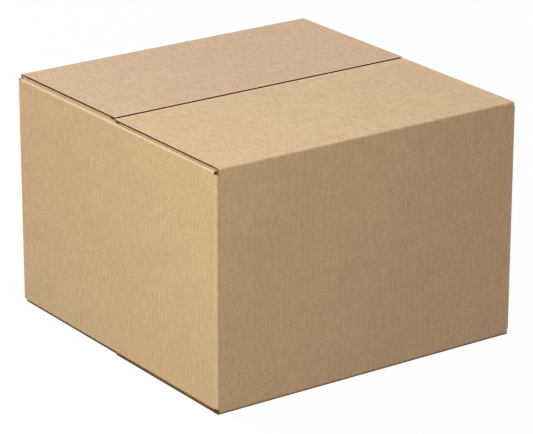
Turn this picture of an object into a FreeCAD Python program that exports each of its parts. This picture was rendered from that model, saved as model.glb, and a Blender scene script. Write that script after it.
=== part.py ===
"""Closed corrugated carton with four flaps on top and four below, in millimetres.

One sheet of board is scored, slotted, folded into a square tube and glued along one
corner.  The bottom flaps are glued shut, the two inner top flaps lie folded in, and
the two outer top flaps hinge on the upper edges of the front and back panels.
+Z is up, -Y is the front, and the origin is the middle of the underside.
"""
import FreeCAD, Part
import math
import os

import Sketcher

DOC = FreeCAD.newDocument("carton")

# Driving sizes: alias, value in millimetres, meaning
SIZES = [
    ("outer_width", 389.0, "outside of the carton along the front panel"),
    ("outer_depth", 389.0, "outside of the carton along the end panels"),
    ("outer_height", 270.0, "outside of the carton, over the closed outer flaps"),
    ("board", 4.0, "thickness of the single-wall board"),
    ("fold_inner", 0.5, "radius on the inside of every fold"),
    ("slot_width", 9.5, "width of the slots that part the flaps"),
    ("slot_past_fold", 1.0, "how far a slot runs past the outer flap's fold"),
    ("layer_gap", 0.3, "air between an outer flap and the inner flap under it"),
    ("hinge_gap", 0.3, "clearance across the mitre at an outer top flap's fold"),
    ("top_seam_gap", 2.5, "gap between the free edges of the outer top flaps"),
    ("top_seam_shift", 2.0, "how far the top seam lies behind the middle"),
    ("bottom_seam_gap", 2.5, "gap between the free edges of the outer bottom flaps"),
    ("inner_seam_gap", 3.0, "gap between the free edges of a pair of inner flaps"),
    ("tab_width", 35.0, "width of the glue tab inside the back panel"),
    ("tab_taper", 12.0, "how much each end of the glue tab is cut back"),
    ("tab_clearance", 1.0, "room between the glue tab's ends and the inner flaps"),
    ("joint_gap", 0.5, "from the glued corner's fold to the back panel's cut end"),
]

SHEET = DOC.addObject("Spreadsheet::Sheet", "Sizes")
for row, (alias, value, meaning) in enumerate(SIZES, start=1):
    SHEET.set(f"A{row}", alias)
    SHEET.set(f"B{row}", str(value))
    SHEET.set(f"C{row}", meaning)
    SHEET.setAlias(f"B{row}", alias)
DOC.recompute()

# Expressions that several outlines share
HALF_WIDTH = "Sizes.outer_width / 2"
HALF_DEPTH = "Sizes.outer_depth / 2"
TOP = "Sizes.outer_height"
BOARD = "Sizes.board"
FOLD_OUTER = "(Sizes.board + Sizes.fold_inner)"
FOLD_INNER = "Sizes.fold_inner"
HALF_SLOT = "Sizes.slot_width / 2"
SLOT_DEPTH = "(Sizes.board + Sizes.fold_inner + Sizes.slot_past_fold)"
INNER_LEVEL = "(Sizes.board + Sizes.layer_gap)"
INNER_FOLD_END = "(2 * Sizes.board + Sizes.layer_gap + Sizes.fold_inner)"
INNER_UNDERSIDE = "(2 * Sizes.board + Sizes.layer_gap)"
JOINT_SETBACK = "(Sizes.board + Sizes.fold_inner + Sizes.joint_gap)"
MITRE_DROP = "Sizes.hinge_gap / sqrt(2)"
FLAP_SPAN = "Sizes.outer_width - Sizes.slot_width"
LEFT_INNER_SPAN = "Sizes.outer_depth - Sizes.slot_width"
RIGHT_INNER_SPAN = "Sizes.outer_depth - Sizes.board - Sizes.slot_width"


def value_of(expression):
    """Number that an expression of the sheet's cells gives."""
    return float(SHEET.evalExpression(str(expression)))


def new_body(label):
    """Body for one sub-part, named after its file."""
    body = DOC.addObject("PartDesign::Body", label)
    body.Label = label
    return body


def origin_plane(body, role):
    """One of the body's own origin planes."""
    return next(plane for plane in body.Origin.OriginFeatures if plane.Role == role)


def corner_numbers(corners):
    """Places and radii of the corners, as numbers for the first drawing."""
    places = [FreeCAD.Vector(value_of(c[0]), value_of(c[1]), 0) for c in corners]
    radii = [value_of(c[2]) if len(c) > 2 else 0.0 for c in corners]
    return places, radii


def signed_area(places):
    """Area of a polygon, positive where it runs anticlockwise."""
    following = places[1:] + places[:1]
    return sum(a.x * b.y - b.x * a.y for a, b in zip(places, following)) / 2


def bind(sketch, kind, geometry, point, expression):
    """Tie one coordinate of a point to an expression."""
    index = sketch.addConstraint(
        Sketcher.Constraint(kind, -1, 1, geometry, point, value_of(expression)))
    sketch.setExpression(f"Constraints[{index}]", expression)


def draw_loop(sketch, corners):
    """Closed loop through corners (x, y) or (x, y, radius), all given as expressions.

    Only square corners between level and upright lines are rounded.
    """
    places, radii = corner_numbers(corners)
    if signed_area(places) < 0:
        corners = corners[::-1]
        places, radii = corner_numbers(corners)
    count = len(corners)
    ahead = [(places[(i + 1) % count] - places[i]).normalize() for i in range(count)]
    entry = [places[i] - ahead[i - 1] * radii[i] for i in range(count)]
    leave = [places[i] + ahead[i] * radii[i] for i in range(count)]
    lines = [sketch.addGeometry(Part.LineSegment(leave[i], entry[(i + 1) % count]))
             for i in range(count)]
    for i, corner in enumerate(corners):
        if not radii[i]:
            sketch.addConstraint(
                Sketcher.Constraint("Coincident", lines[i - 1], 2, lines[i], 1))
            bind(sketch, "DistanceX", lines[i], 1, corner[0])
            bind(sketch, "DistanceY", lines[i], 1, corner[1])
            continue
        centre = entry[i] + leave[i] - places[i]
        left_turn = ahead[i - 1].cross(ahead[i]).z > 0
        first, last = (entry[i], leave[i]) if left_turn else (leave[i], entry[i])
        start = math.atan2(first.y - centre.y, first.x - centre.x)
        circle = Part.Circle(centre, FreeCAD.Vector(0, 0, 1), radii[i])
        arc = sketch.addGeometry(Part.ArcOfCircle(circle, start, start + math.pi / 2))
        entry_end, leave_end = (1, 2) if left_turn else (2, 1)
        sketch.addConstraint(
            Sketcher.Constraint("Tangent", lines[i - 1], 2, arc, entry_end))
        sketch.addConstraint(
            Sketcher.Constraint("Tangent", lines[i], 1, arc, leave_end))
        radius = sketch.addConstraint(Sketcher.Constraint("Radius", arc, radii[i]))
        sketch.setExpression(f"Constraints[{radius}]", corner[2])
    for i, line in enumerate(lines):
        following = (i + 1) % count
        if not (radii[i] or radii[following]):
            continue
        upright = abs(ahead[i].x) < abs(ahead[i].y)
        sketch.addConstraint(
            Sketcher.Constraint("Vertical" if upright else "Horizontal", line))
        if radii[i] and radii[following]:
            kind, side = ("DistanceX", 0) if upright else ("DistanceY", 1)
            bind(sketch, kind, line, 1, corners[i][side])


def add_sketch(body, name, plane, loops, shift=None):
    """Sketch of one or more closed loops on an origin plane, moved along its normal."""
    sketch = body.newObject("Sketcher::SketchObject", name)
    sketch.AttachmentSupport = [(origin_plane(body, plane), "")]
    sketch.MapMode = "FlatFace"
    if shift is not None:
        sketch.setExpression("AttachmentOffset.Base.z", shift)
    for corners in loops:
        draw_loop(sketch, corners)
    DOC.recompute()
    return sketch


def add_pad(body, name, sketch, length, symmetric):
    """Board swept along the sketch's normal."""
    pad = body.newObject("PartDesign::Pad", name)
    pad.Profile = sketch
    pad.SideType = "Symmetric" if symmetric else "One side"
    pad.setExpression("Length", length)
    DOC.recompute()
    return pad


def add_pocket(body, name, sketch, length):
    """Cut through the body on both sides of the sketch; it has to remove material."""
    before = body.Shape.Volume
    pocket = body.newObject("PartDesign::Pocket", name)
    pocket.Profile = sketch
    pocket.SideType = "Symmetric"
    pocket.setExpression("Length", length)
    DOC.recompute()
    if body.Shape.Volume >= before:
        raise RuntimeError(f"{name} cuts nothing")
    return pocket


def rectangle(low_x, low_y, high_x, high_y):
    """Corners of a rectangle, as expressions."""
    return [(low_x, low_y), (high_x, low_y), (high_x, high_y), (low_x, high_y)]


def folded_board(wall, level, inward, wall_way, wall_end, flap_end):
    """Section of a panel that turns a rounded fold and goes on as a flap.

    wall and level place the outside corner of the fold; inward is the sign of the way
    the flap runs, and wall_way the sign of the way the panel runs from that corner.
    """
    inside_wall = f"{wall} {inward} {BOARD}"
    inside_level = f"{level} {wall_way} {BOARD}"
    return [
        (wall, wall_end),
        (wall, level, FOLD_OUTER),
        (flap_end, level),
        (flap_end, inside_level),
        (inside_wall, inside_level, FOLD_INNER),
        (inside_wall, wall_end),
    ]


def mitre_plane(hinge, inward, lift):
    """Two points far apart on the 45 degree plane through a top hinge, moved by lift."""
    outside = (f"{hinge} {opposite(inward)} {BOARD}", f"{TOP} + {BOARD} {lift}")
    inside = (f"{hinge} {inward} 2 * {BOARD}", f"{TOP} - 2 * {BOARD} {lift}")
    return outside, inside


def opposite(sign):
    """The other sign."""
    return "-" if sign == "+" else "+"


def add_tube(body):
    """Four panels in one wrap with rounded corners, and the glue tab inside the back.

    At the back right corner the end panel turns in under the back panel and ends in
    the tab, so the back panel stops short there.
    """
    left, right = f"-{HALF_WIDTH}", HALF_WIDTH
    front, back = f"-{HALF_DEPTH}", HALF_DEPTH
    tucked = f"{back} - {BOARD}"
    outside = [
        (left, front, FOLD_OUTER),
        (right, front, FOLD_OUTER),
        (right, tucked, FOLD_OUTER),
        (f"{right} - {JOINT_SETBACK}", tucked),
        (f"{right} - {JOINT_SETBACK}", back),
        (left, back, FOLD_OUTER),
    ]
    tab_end = f"{right} - {BOARD} - Sizes.tab_width"
    inside = [
        (f"{left} + {BOARD}", f"{front} + {BOARD}", FOLD_INNER),
        (f"{right} - {BOARD}", f"{front} + {BOARD}", FOLD_INNER),
        (f"{right} - {BOARD}", f"{back} - 2 * {BOARD}", FOLD_INNER),
        (tab_end, f"{back} - 2 * {BOARD}"),
        (tab_end, tucked),
        (f"{left} + {BOARD}", tucked, FOLD_INNER),
    ]
    sketch = add_sketch(body, "wrap_outline", "XY_Plane", [outside, inside], SLOT_DEPTH)
    add_pad(body, "wrap", sketch, f"{TOP} - 2 * {SLOT_DEPTH}", symmetric=False)


def taper_tab(body):
    """Cut both ends of the glue tab to a slope, clear of the inner flaps."""
    fold_side = f"{HALF_WIDTH} - {BOARD}"
    free_side = f"{HALF_WIDTH} - 2 * {BOARD} - Sizes.tab_width"
    low_end = f"{INNER_UNDERSIDE} + Sizes.tab_clearance"
    high_end = f"{TOP} - {INNER_UNDERSIDE} - Sizes.tab_clearance"
    loops = [
        [(fold_side, "0"), (fold_side, low_end),
         (free_side, f"{low_end} + Sizes.tab_taper"), (free_side, "0")],
        [(fold_side, TOP), (fold_side, high_end),
         (free_side, f"{high_end} - Sizes.tab_taper"), (free_side, TOP)],
    ]
    shift = f"-({HALF_DEPTH} - 2 * {BOARD})"
    sketch = add_sketch(body, "tab_end_outline", "XZ_Plane", loops, shift)
    add_pocket(body, "tab_ends", sketch, f"2 * {BOARD}")


def notch_end_panel(body, name, outside, inward, span, shift):
    """Lower an end panel between the slots to where its inner flaps' folds begin."""
    through = f"{outside} {opposite(inward)} {BOARD}"
    within = f"{outside} {inward} {BOARD} {inward} {FOLD_INNER}"
    loops = [
        rectangle(through, "0", within, INNER_FOLD_END),
        rectangle(through, f"{TOP} - {INNER_FOLD_END}", within, TOP),
    ]
    sketch = add_sketch(body, f"{name}_notch_outline", "XZ_Plane", loops, shift)
    add_pocket(body, f"{name}_notch", sketch, span)


def add_inner_flaps(body, name, outside, inward, span, shift):
    """Bottom and top inner flap of one end panel, each with its fold."""
    flap_end = f"0 {opposite(inward)} Sizes.inner_seam_gap / 2"
    low = folded_board(outside, INNER_LEVEL, inward, "+", f"{TOP} / 3", flap_end)
    high = folded_board(outside, f"{TOP} - {INNER_LEVEL}", inward, "-",
                        f"2 * {TOP} / 3", flap_end)
    sketch = add_sketch(body, f"{name}_inner_flap_outline", "XZ_Plane", [low, high], shift)
    add_pad(body, f"{name}_inner_flaps", sketch, span, symmetric=True)


def add_bottom_flap(body, name, outside, inward):
    """Outer bottom flap of the front or back panel, with its fold."""
    flap_end = f"0 {opposite(inward)} Sizes.bottom_seam_gap / 2"
    section = folded_board(outside, "0", inward, "+", f"{TOP} / 3", flap_end)
    sketch = add_sketch(body, f"{name}_bottom_flap_outline", "YZ_Plane", [section])
    add_pad(body, f"{name}_bottom_flap", sketch, FLAP_SPAN, symmetric=True)


def add_hinge_edges(body):
    """Upper edges of the front and back panels, up to the mitre in each fold."""
    stubs = []
    cuts = []
    for outside, inward in ((f"-{HALF_DEPTH}", "+"), (HALF_DEPTH, "-")):
        stub_end = f"{outside} {inward} 1.5 * {BOARD} {inward} {FOLD_INNER}"
        stubs.append(folded_board(outside, TOP, inward, "-", f"2 * {TOP} / 3", stub_end))
        edge, foot = mitre_plane(outside, inward, f"- {MITRE_DROP}")
        cuts.append([edge, foot, (foot[0], edge[1])])
    sketch = add_sketch(body, "hinge_edge_outline", "YZ_Plane", stubs)
    add_pad(body, "hinge_edges", sketch, FLAP_SPAN, symmetric=True)
    sketch = add_sketch(body, "hinge_mitre_outline", "YZ_Plane", cuts)
    add_pocket(body, "hinge_mitres", sketch, "Sizes.outer_width")


def make_carton_body():
    """The sheet's four panels, its glue tab and every flap that stays shut."""
    body = new_body("carton_body")
    left = (f"-{HALF_WIDTH}", "+", LEFT_INNER_SPAN, "0")
    right = (HALF_WIDTH, "-", RIGHT_INNER_SPAN, f"{BOARD} / 2")
    add_tube(body)
    taper_tab(body)
    for name, side in (("left", left), ("right", right)):
        notch_end_panel(body, name, *side)
        add_inner_flaps(body, name, *side)
    add_bottom_flap(body, "front", f"-{HALF_DEPTH}", "+")
    add_bottom_flap(body, "back", HALF_DEPTH, "-")
    add_hinge_edges(body)
    return body


def make_top_flap(label, outside, inward):
    """Outer top flap: the rest of its fold, from the mitre on, and the flap itself."""
    body = new_body(label)
    flap_end = f"Sizes.top_seam_shift {opposite(inward)} Sizes.top_seam_gap / 2"
    section = folded_board(outside, TOP, inward, "-", f"{TOP} - 2 * {BOARD}", flap_end)
    sketch = add_sketch(body, f"{label}_outline", "YZ_Plane", [section])
    add_pad(body, f"{label}_board", sketch, FLAP_SPAN, symmetric=True)
    edge, foot = mitre_plane(outside, inward, f"+ {MITRE_DROP}")
    cut = [edge, foot, (f"{foot[0]}", f"{foot[1]} - {BOARD}"),
           (edge[0], f"{foot[1]} - {BOARD}")]
    sketch = add_sketch(body, f"{label}_mitre_outline", "YZ_Plane", [cut])
    add_pocket(body, f"{label}_mitre", sketch, "Sizes.outer_width")
    return body


def check_document(parts):
    """Stop if an object failed to compute or a sub-part is not a sound solid."""
    for item in DOC.Objects:
        if "Invalid" in item.State or "Error" in item.State:
            raise RuntimeError(f"{item.Label} is {item.State}")
    for body in parts:
        shape = body.Shape
        if shape.isNull() or not shape.isValid() or len(shape.Solids) != 1:
            raise RuntimeError(f"{body.Label} is not one sound solid")


PARTS = [
    make_carton_body(),
    make_top_flap("front_top_flap", f"-{HALF_DEPTH}", "+"),
    make_top_flap("back_top_flap", HALF_DEPTH, "-"),
]
DOC.recompute()
check_document(PARTS)

os.makedirs("parts", exist_ok=True)
for part in PARTS:
    part.Shape.exportStep(f"parts/{part.Label}.step")
    box = part.Shape.BoundBox
    print(f"{part.Label}: {part.Shape.Volume / 1000:.1f} cm3, "
          f"X {box.XMin:.2f} to {box.XMax:.2f}, Y {box.YMin:.2f} to {box.YMax:.2f}, "
          f"Z {box.ZMin:.2f} to {box.ZMax:.2f}")
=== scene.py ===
"""Looks of a closed corrugated carton: folded board, open flutes and kraft liner.

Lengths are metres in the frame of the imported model: +Z up, -Y the front panel, and
the origin in the middle of the underside.  A place on the unfolded sheet is (s, v):
s runs along the wrap, across the flutes, and v runs up the panels, so that v equals
the height on a panel.  t is the depth below the outer liner.
"""
from __future__ import annotations

import logging
import math
from dataclasses import dataclass, field
from enum import Enum

import bpy
import numpy as np
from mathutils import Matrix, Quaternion, Vector

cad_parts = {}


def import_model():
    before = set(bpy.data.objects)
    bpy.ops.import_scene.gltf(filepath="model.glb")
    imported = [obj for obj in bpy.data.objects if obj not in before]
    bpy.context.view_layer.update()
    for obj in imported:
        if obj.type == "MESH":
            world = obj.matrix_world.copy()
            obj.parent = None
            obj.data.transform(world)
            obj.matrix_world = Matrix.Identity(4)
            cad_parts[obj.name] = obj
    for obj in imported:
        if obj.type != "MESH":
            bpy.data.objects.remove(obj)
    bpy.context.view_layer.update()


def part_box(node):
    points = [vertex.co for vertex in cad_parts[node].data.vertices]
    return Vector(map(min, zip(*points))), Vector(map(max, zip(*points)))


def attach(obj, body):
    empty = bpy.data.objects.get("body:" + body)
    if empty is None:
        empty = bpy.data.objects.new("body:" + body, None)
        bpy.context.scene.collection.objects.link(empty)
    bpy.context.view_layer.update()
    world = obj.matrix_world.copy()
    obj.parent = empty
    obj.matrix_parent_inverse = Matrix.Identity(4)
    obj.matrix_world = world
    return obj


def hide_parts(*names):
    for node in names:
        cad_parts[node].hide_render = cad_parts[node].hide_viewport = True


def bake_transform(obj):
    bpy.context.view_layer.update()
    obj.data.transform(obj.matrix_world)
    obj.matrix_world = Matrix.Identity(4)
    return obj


LOG = logging.getLogger("carton")
MM = 0.001
FULL_TURN = 2.0 * math.pi
SHEET_UV = "sheet"
# Vertex attributes: wear with a painted highlight on folds and cut edges, and painted shade in
# flutes, on cut edges and under the lower folds.
WEAR_AND_HIGHLIGHT_ATTRIBUTE = "fold_wear_and_highlight"
PAINTED_SHADE_ATTRIBUTE = "painted_shade"
CELL_CORNERS = ((0, 0), (1, 0), (1, 1), (0, 1))
CELL_SIDES = ((0, -1), (1, 0), (0, 1), (-1, 0))

Array = np.ndarray
Triple = tuple[float, float, float]


class Skin(Enum):
    """Which paper a face shows; the value is the material's place in the list."""

    LINER = 0
    CUT = 1
    MEDIUM = 2
    LINING = 3


class Wall(Enum):
    """The stretches of the wrap, in their order round the carton."""

    BACK = "back"
    LEFT = "left"
    FRONT = "front"
    RIGHT = "right"
    TAB = "tab"


def smooth_step(x: Array) -> Array:
    """Cubic step from 0 at x = 0 to 1 at x = 1."""
    x = np.clip(x, 0.0, 1.0)
    return x * x * (3.0 - 2.0 * x)


def bell(x: Array) -> Array:
    """Gaussian bump of height 1 at x = 0."""
    return np.exp(-x * x)


def cell_quads(numbers: Array, cells: Array) -> Array:
    """Quads of the chosen cells of a grid of vertex numbers."""
    i, j = np.nonzero(cells)
    return np.stack([numbers[i + right, j + up] for right, up in CELL_CORNERS], axis=1)


def link(item: bpy.types.Object) -> bpy.types.Object:
    """Link an object to the scene and give it back."""
    bpy.context.scene.collection.objects.link(item)
    return item


@dataclass(frozen=True)
class Board:
    """Single-wall corrugated board."""

    thickness: float = 4.0 * MM
    liner: float = 0.30 * MM
    medium: float = 0.24 * MM
    pitch: float = 7.312 * MM
    fold_outer: float = 1.8 * MM
    fold_inner: float = 0.8 * MM
    fold_spread: float = 7.0 * MM
    fold_crush: float = 0.5
    fold_crush_reach: float = 3.0 * MM
    washboard: float = 0.09 * MM
    groove: float = 9.0 * MM

    @property
    def fold_arc(self) -> float:
        """Length of a fold's quarter circle on the outer liner."""
        return self.fold_outer * math.pi / 2.0

    def fold_radius(self, depth: Array) -> Array:
        """Radius of a fold at a depth below the outer liner."""
        return self.fold_outer + (self.fold_inner - self.fold_outer) * depth / self.thickness

    def fold_shift(self, depth: Array) -> Array:
        """How much further from the corner a fold's arc starts at a depth."""
        return depth + self.fold_radius(depth) - self.fold_outer

    def spread(self, distance: Array) -> Array:
        """Share of the fold's shift that is left at a distance from its arc."""
        return bell(distance / self.fold_spread)


@dataclass(frozen=True)
class CartonSizes:
    """Places of the carton's panels, flaps and slots, read from the frame."""

    half_width: float
    half_depth: float
    height: float
    slot_inset: float
    seam: float
    layer_gap: float = 0.3 * MM
    slot_end: float = 6.6 * MM
    slot_rises: tuple[float, ...] = (1.9 * MM, 0.0, 1.2 * MM, 0.0)
    slot_drops: tuple[float, ...] = (1.9 * MM, 0.0, 0.0, 0.0)
    back_slot: float = 1.8 * MM
    front_slots: tuple[float, float] = (0.2 * MM, 0.1 * MM)
    seam_shift: float = 0.7 * MM
    seam_gap: float = 4.2 * MM
    bottom_seam: float = 4.0 * MM
    bottom_seam_gap: float = 0.6 * MM
    inner_seam_gap: float = 3.0 * MM
    joint_setback: float = 1.9 * MM
    tab_width: float = 35.0 * MM
    tab_taper: float = 12.0 * MM
    tab_clearance: float = 1.0 * MM

    @classmethod
    def from_frame(cls) -> CartonSizes:
        """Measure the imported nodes.

        Returns:
            The sizes.
        """
        low, high = (np.array(corner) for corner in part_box("carton_body"))
        flap_high = np.array(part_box("front_top_flap")[1])
        back_low = np.array(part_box("back_top_flap")[0])
        return cls(
            half_width=float(high[0] - low[0]) / 2.0,
            half_depth=float(high[1] - low[1]) / 2.0,
            height=float(flap_high[2]),
            slot_inset=float(high[0] - flap_high[0]),
            seam=float(flap_high[1] + back_low[1]) / 2.0,
        )


@dataclass(frozen=True)
class Panel:
    """Straight stretch of the wrap: its ends, its flaps' sides and its kind."""

    wall: Wall
    start: float
    end: float
    flap_start: float
    flap_end: float
    inner_flaps: bool

    @property
    def flute_anchor(self) -> float:
        """The s of a flute's inner crest, at one side of its flaps."""
        return self.flap_end if self.wall is Wall.BACK else self.flap_start

    def share(self, s: Array) -> Array:
        """Place along the panel, from 0 at its start to 1 at its end."""
        return (s - self.start) / (self.end - self.start)


@dataclass
class MeshParts:
    """Vertices, quads and their data, gathered before a mesh is made."""

    points: list[Array] = field(default_factory=list)
    sheet: list[Array] = field(default_factory=list)
    marks: list[Array] = field(default_factory=list)
    quads: list[Array] = field(default_factory=list)
    skins: list[Array] = field(default_factory=list)
    count: int = 0

    def add_points(self, points: Array, s: Array, v: Array, wear_and_highlight: Array | float,
                   painted_shade: Array) -> Array:
        """Add vertices.

        Args:
            points: Places, one row each.
            s: Place along the wrap.
            v: Place up the panels.
            wear_and_highlight: Fold wear with a painted highlight, from 0 to 1.
            painted_shade: Painted shade from 0 to 1, deep in a flute, on cut edges and under
                the lower folds.

        Returns:
            The new vertices' numbers.
        """
        self.points.append(points)
        self.sheet.append(np.stack([s, v], axis=-1))
        self.marks.append(np.stack(np.broadcast_arrays(wear_and_highlight, painted_shade), axis=-1))
        first = self.count
        self.count += len(points)
        return np.arange(first, self.count)

    def add_quads(self, quads: Array, skin: Skin) -> None:
        """Add quads, rows of four vertex numbers, all in one paper."""
        self.quads.append(quads)
        self.skins.append(np.full(len(quads), skin.value, dtype=np.int32))

    def make_object(self, name: str, materials: list[bpy.types.Material],
                    sharp_degrees: float = 42.0) -> bpy.types.Object:
        """Turn what was gathered into a mesh object at the origin.

        Args:
            name: The object's name.
            materials: One material for each Skin, in its order.
            sharp_degrees: Edges that turn by more are drawn sharp.

        Returns:
            The new object, linked to the scene.
        """
        points = np.concatenate(self.points).astype(np.float32)
        corners = np.concatenate(self.quads).astype(np.int32).ravel()
        sheet = np.concatenate(self.sheet).astype(np.float32)
        marks = np.concatenate(self.marks).astype(np.float32)
        starts = np.arange(0, corners.size, 4, dtype=np.int32)
        mesh = bpy.data.meshes.new(name)
        mesh.vertices.add(len(points))
        mesh.vertices.foreach_set("co", points.ravel())
        mesh.loops.add(corners.size)
        mesh.loops.foreach_set("vertex_index", corners)
        mesh.polygons.add(starts.size)
        mesh.polygons.foreach_set("loop_start", starts)
        mesh.polygons.foreach_set("material_index", np.concatenate(self.skins))
        mesh.polygons.foreach_set("use_smooth", np.ones(starts.size, dtype=bool))
        uv_map = mesh.uv_layers.new(name=SHEET_UV)
        uv_map.data.foreach_set("uv", sheet[corners].ravel())
        for column, attribute in enumerate((WEAR_AND_HIGHLIGHT_ATTRIBUTE, PAINTED_SHADE_ATTRIBUTE)):
            layer = mesh.attributes.new(attribute, "FLOAT", "POINT")
            layer.data.foreach_set("value", np.ascontiguousarray(marks[:, column]))
        mesh.update(calc_edges=True)
        mesh.validate()
        mesh.set_sharp_from_angle(angle=math.radians(sharp_degrees))
        for material in materials:
            mesh.materials.append(material)
        return link(bpy.data.objects.new(name, mesh))


@dataclass
class FoldedSheet:
    """The carton's sheet, folded: it gives the place in space of any (s, v, t).

    A wave of the unevenness is its length, its phase and its weight.
    """

    sizes: CartonSizes
    board: Board
    dish: float = 0.25 * MM
    crest_wander: float = 0.12 * MM
    waves_along: tuple[Triple, ...] = ((47.0 * MM, 0.4, 1.0), (19.3 * MM, 2.1, 0.7))
    waves_up: tuple[Triple, ...] = ((61.0 * MM, 1.3, 1.0), (23.1 * MM, 0.2, 0.7))
    arc_steps: int = 24
    slot_fade: float = 3.0 * MM
    # Painted shade under the lower folds, near the floor.
    low_fold_shade_middle: float = 1.9 * MM
    low_fold_shade_reach: float = 2.2 * MM
    inner_low_fold_shade_middle: float = 2.6 * MM
    inner_low_fold_shade_reach: float = 1.3 * MM
    # Wear with a painted highlight on flap folds, and a painted highlight alone on upright
    # folds.
    flap_wear_and_highlight_reach: float = 0.6
    upright_highlight: float = 1.6
    upright_highlight_reach: float = 2.0 * MM
    top_skew: float = 0.7 * MM
    bottom_skew: float = 1.0 * MM
    skew_reach: float = 2.5 * MM
    skew_start: float = 50.0
    panels: dict[Wall, Panel] = field(init=False)
    path: Array = field(init=False)
    folds: list[float] = field(init=False)

    def __post_init__(self) -> None:
        """Lay the wrap's path: back, left, front and right panel, then the glue tab."""
        sizes, board = self.sizes, self.board
        radius = board.fold_outer
        side_run = 2.0 * sizes.half_depth - 2.0 * radius
        margin = sizes.slot_inset - radius
        runs = [
            (Wall.BACK, 2.0 * sizes.half_width - sizes.joint_setback - radius,
             0.0, sizes.back_slot),
            (Wall.LEFT, side_run, margin, margin),
            (Wall.FRONT, 2.0 * sizes.half_width - 2.0 * radius, *sizes.front_slots),
            (Wall.RIGHT, side_run - board.thickness, margin, 0.0),
            (Wall.TAB, board.thickness + sizes.tab_width - radius, 0.0, 0.0),
        ]
        x, y, turn, s = sizes.half_width - sizes.joint_setback, sizes.half_depth, math.pi, 0.0
        places = [(s, x, y, turn)]
        self.folds, self.panels = [], {}
        for wall, length, slot_before, slot_after in runs:
            end = s + length
            self.panels[wall] = Panel(wall, s, end, s + slot_before, end - slot_after,
                                      wall in (Wall.LEFT, Wall.RIGHT))
            x += length * math.cos(turn)
            y += length * math.sin(turn)
            s = end
            places.append((s, x, y, turn))
            if wall is Wall.TAB:
                break
            self.folds.append(s)
            centre_x = x - radius * math.sin(turn)
            centre_y = y + radius * math.cos(turn)
            for step in range(1, self.arc_steps + 1):
                share = step / self.arc_steps
                angle = turn + share * math.pi / 2.0
                places.append((s + share * board.fold_arc, centre_x + radius * math.sin(angle),
                               centre_y - radius * math.cos(angle), angle))
            s, x, y, turn = places[-1]
        self.path = np.array(places).T

    @property
    def slot_low(self) -> float:
        """Height of the lower slots' ends."""
        return self.sizes.slot_end

    @property
    def slot_high(self) -> float:
        """Height of the upper slots' ends."""
        return self.sizes.height - self.sizes.slot_end

    @property
    def inner_level(self) -> float:
        """Depth of an inner flap's outer face below the carton's top or above its base."""
        return self.board.thickness + self.sizes.layer_gap

    def flap_tip(self, reach: float, level: float, top: bool) -> float:
        """The v at which a flap ends.

        Args:
            reach: Distance from the panel's outside to the flap's free edge.
            level: Depth of the flap's outer face from the carton's top or base.
            top: True for a top flap.

        Returns:
            The v of the free edge.
        """
        radius = self.board.fold_outer
        run = level + radius - self.board.fold_arc - (reach - radius)
        return self.sizes.height - run if top else run

    def path_at(self, s: Array | float) -> list[Array]:
        """The wrap's x, y and heading in plan."""
        return [np.interp(s, self.path[0], row) for row in self.path[1:]]

    def on_top(self, v: Array) -> Array:
        """True in the upper half of the sheet."""
        return v > 0.5 * self.sizes.height

    def flap_level(self, s: Array) -> Array:
        """Depth of the flaps' outer faces, which is more for inner flaps.

        Args:
            s: Place along the wrap.

        Returns:
            The depth below the carton's top or above its base.
        """
        inner = np.zeros(s.shape, dtype=bool)
        for panel in self.panels.values():
            inner |= (s >= panel.start) & (s <= panel.end) & panel.inner_flaps
        return np.where(inner, self.inner_level, 0.0)

    def fold_distance(self, s: Array, v: Array) -> Array:
        """Distance past the start of the nearer flap fold, negative on the panel."""
        start = self.flap_level(s) + self.board.fold_outer
        return np.where(self.on_top(v), v - self.sizes.height + start, start - v)

    def fold_bump(self, s: Array, v: Array, reach: float) -> Array:
        """Bump of height 1 on the middle of the nearer flap fold."""
        return bell((self.fold_distance(s, v) - 0.5 * self.board.fold_arc) / reach)

    def fold_marks(self, s: Array, v: Array, reach: float) -> Array:
        """Bumps of height 1 on the middle of every fold, flap and upright.

        Args:
            s: Place along the wrap.
            v: Place up the panels.
            reach: How far the bump reaches.

        Returns:
            The greatest bump at each place.
        """
        mark = self.fold_bump(s, v, reach)
        for fold in self.folds:
            middle = fold + 0.5 * self.board.fold_arc
            mark = np.maximum(mark, bell((s - middle) / reach))
        return mark

    def fold_wear_and_highlight(self, s: Array, v: Array) -> Array:
        """Wear with a painted highlight on the middle of flap folds, and a painted highlight
        where the upright folds start.

        Args:
            s: Place along the wrap.
            v: Place up the panels.

        Returns:
            Wear with a painted highlight, 1 on a flap fold.
        """
        wear_and_highlight = self.fold_bump(s, v, self.flap_wear_and_highlight_reach * self.board.fold_arc)
        for fold in self.folds:
            # Painted highlight where the upright folds start.
            upright = self.upright_highlight * bell((s - fold) / self.upright_highlight_reach)
            wear_and_highlight = np.maximum(wear_and_highlight, upright)
        return wear_and_highlight

    def painted_low_fold_shade(self, s: Array, v: Array) -> Array:
        """Painted shade under the lower folds, near the floor: a bump over the distance past a
        fold.

        Args:
            s: Place along the wrap.
            v: Place up the panels.

        Returns:
            Painted shade from 0 to 1.
        """
        inner = self.flap_level(s) > 0.0
        middle = np.where(inner, self.inner_low_fold_shade_middle, self.low_fold_shade_middle)
        reach = np.where(inner, self.inner_low_fold_shade_reach, self.low_fold_shade_reach)
        shade = bell((self.fold_distance(s, v) - middle) / reach)
        return np.where(self.on_top(v), 0.0, shade)

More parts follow.
